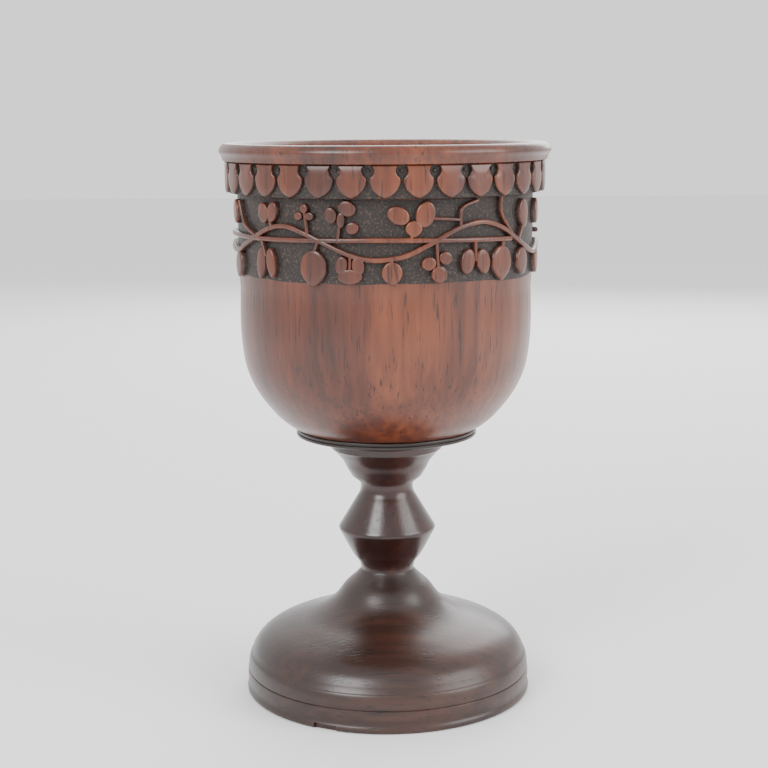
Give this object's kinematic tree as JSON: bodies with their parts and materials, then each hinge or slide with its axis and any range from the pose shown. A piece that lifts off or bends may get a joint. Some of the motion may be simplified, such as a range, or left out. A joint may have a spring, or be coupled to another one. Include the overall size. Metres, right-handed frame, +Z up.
{
  "type": "goblet",
  "caption": "Turned wooden goblet with a carved bowl, a dark collar, a knopped stem and a domed moulded foot.",
  "frame": {"origin": "centre of the foot's resting plane, on the turning axis", "axes": "+Z up the turning axis from foot to lip, -Y towards the front of the carving"},
  "size_m": [0.105, 0.105, 0.1788],
  "materials": {
    "foot_wood": "satin",
    "stem_wood": "gloss",
    "collar_wood": "satin",
    "bowl_wood": "satin"
  },
  "bodies": {
    "root": {"foot": "foot_wood", "stem": "stem_wood", "collar": "collar_wood", "bowl": "bowl_wood"}
  },
  "joints": []
}
